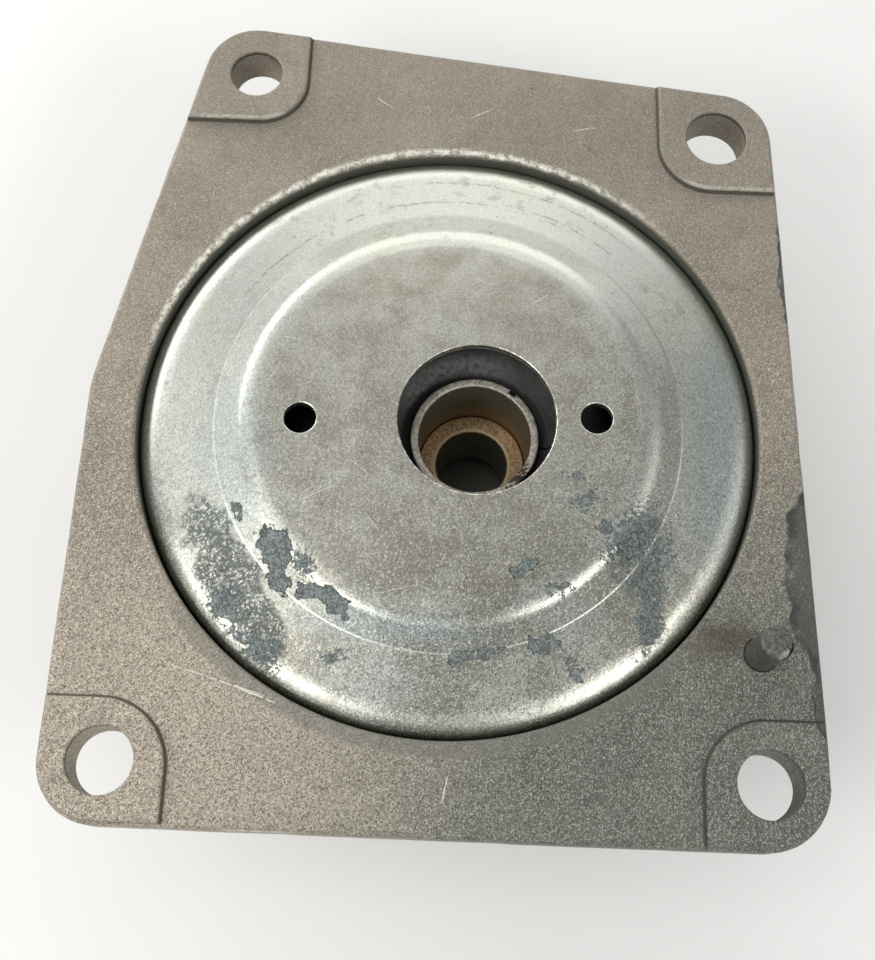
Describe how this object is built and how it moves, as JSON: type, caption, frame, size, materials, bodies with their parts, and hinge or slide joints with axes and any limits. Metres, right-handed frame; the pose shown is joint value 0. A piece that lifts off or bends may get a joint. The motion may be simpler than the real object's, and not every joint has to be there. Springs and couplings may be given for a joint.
{
  "type": "bushed base plate",
  "caption": "Cast base plate with corner bolting pads, holding a turnable pressed-steel cartridge with an eccentric rubber-mounted bronze bush.",
  "frame": {"origin": "under the middle of the bounding box, on the plane of the rear rim", "axes": "+Z out of the bolting face, along the bore axis; +Y towards the end whose bolt holes are closer together; +X to the right, towards the side with the locating pin"},
  "size_m": [0.1168, 0.1386, 0.05],
  "materials": {
    "cast_aluminium": "sand-grained cast aluminium, matt grey with a warm cast, scratched and stained",
    "zinc_plate": "zinc plated pressed steel, satin, with blue-grey corrosion stains",
    "zinc_inner": "zinc plated pressed steel, duller",
    "pin_steel": "dull steel pin with a worn top",
    "bond_steel": "plain steel with bonding coat",
    "bush_rubber": "black moulded rubber, aged",
    "sleeve_steel": "grainy grey steel with a worn bright inner edge",
    "bush_bronze": "oiled bronze, brown in the bore and copper coloured on the face",
    "washer_plastic": "off-white acetal",
    "spring_steel": "blued spring steel",
    "washer_steel": "zinc plated washer",
    "ring_steel": "phosphated spring steel"
  },
  "bodies": {
    "base": {"base_casting": "cast_aluminium", "locating_pin": "pin_steel", "friction_washer": "washer_plastic", "wave_spring": "spring_steel"},
    "cartridge": {"front_cap": "zinc_plate", "rear_shell": "zinc_inner", "bonding_ring": "bond_steel", "rubber_element": "bush_rubber", "backing_washer": "washer_steel", "retaining_ring": "ring_steel"},
    "bush": {"inner_sleeve": "sleeve_steel", "bronze_bush": "bush_bronze"}
  },
  "joints": [
    {"name": "cartridge_turn", "type": "hinge", "parent": "base", "child": "cartridge", "pos_m": [0.00035, -0.00494, 0.04], "axis": [0, 0, 1], "continuous": true},
    {"name": "bush_twist", "type": "hinge", "parent": "cartridge", "child": "bush", "pos_m": [0.00485, -0.00478, 0.02], "axis": [0, 0, 1], "range_deg": [-10, 10], "stiffness_Nm_per_rad": 24}
  ]
}
